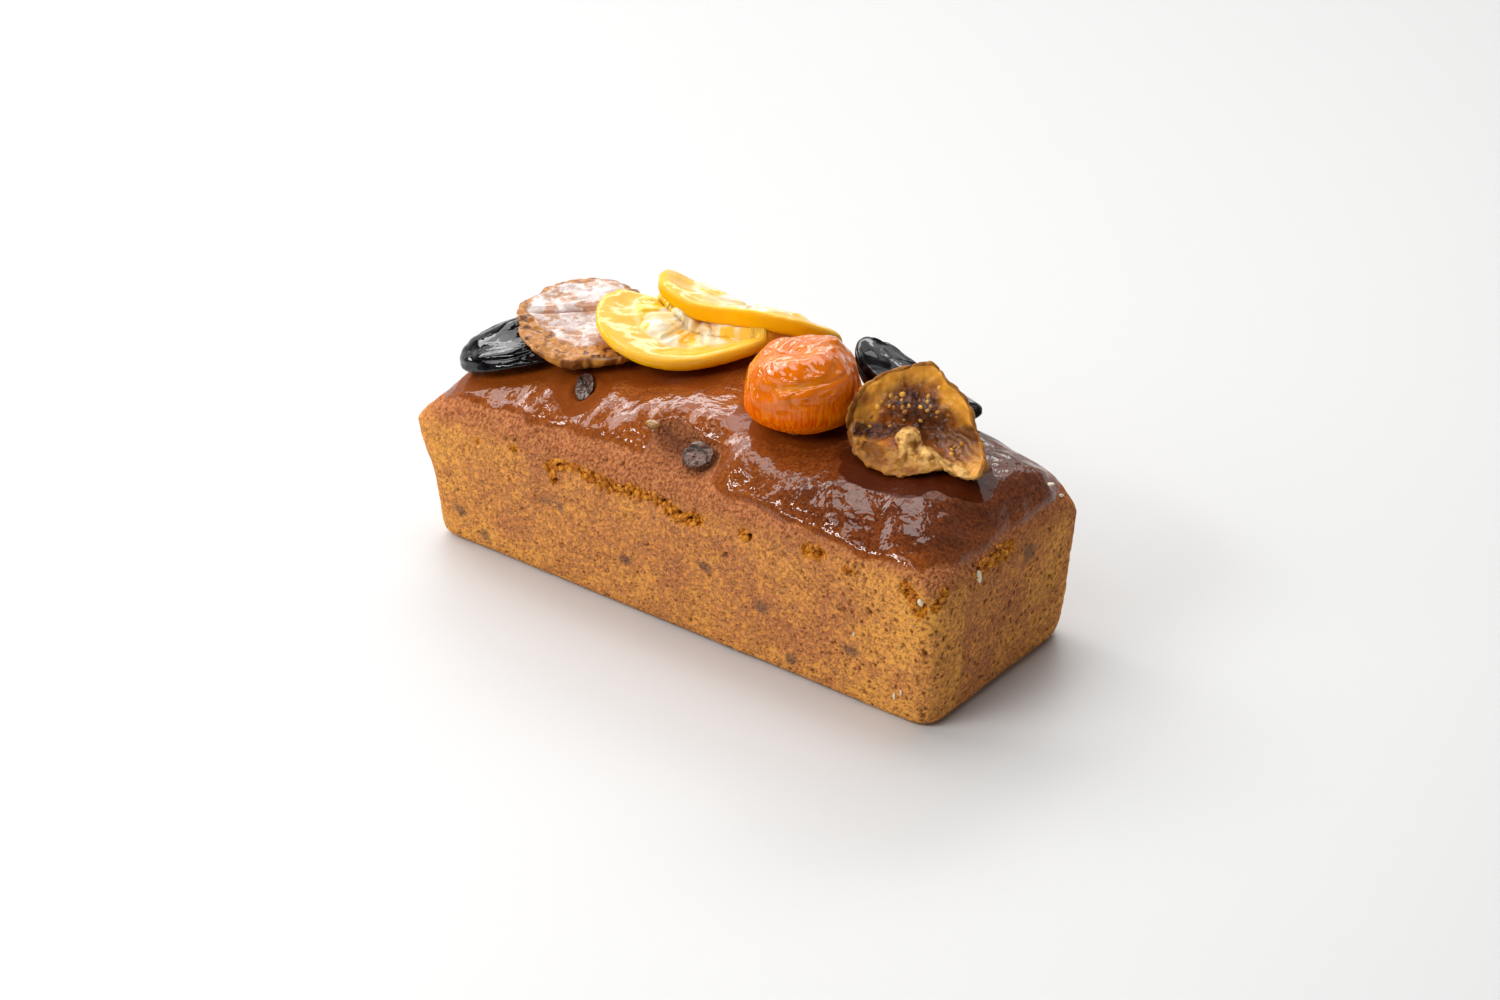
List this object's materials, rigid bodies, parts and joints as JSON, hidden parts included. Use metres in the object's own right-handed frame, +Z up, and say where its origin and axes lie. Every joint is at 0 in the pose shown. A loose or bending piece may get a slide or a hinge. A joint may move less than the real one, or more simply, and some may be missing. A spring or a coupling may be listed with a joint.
{
  "type": "pound cake",
  "caption": "Small rectangular loaf cake with a domed, cracked and glazed top, and whole and sliced dried fruit laid along its crown.",
  "frame": {"origin": "middle of the flat base", "axes": "+X along the loaf towards its right end, +Y across it away from the long front side, +Z up"},
  "size_m": [0.1775, 0.0684, 0.0809],
  "materials": {
    "crust": "baked crust, porous on the walls and glazed on the crown",
    "prune_skin": "black wrinkled skin under clear glaze",
    "fig_skin": "tan skin and brown seeded flesh under clear glaze",
    "orange_peel": "yellow-orange candied peel and translucent pulp",
    "apricot_skin": "orange dried flesh under clear glaze",
    "raisin_skin": "dark wrinkled skin"
  },
  "bodies": {
    "root": {"loaf": "crust", "prune_left": "prune_skin", "fig_flat": "fig_skin", "orange_front": "orange_peel", "orange_back": "orange_peel", "apricot": "apricot_skin", "prune_right": "prune_skin", "fig_open": "fig_skin", "raisin_crater": "raisin_skin", "raisin_by_fig": "raisin_skin"}
  },
  "joints": []
}
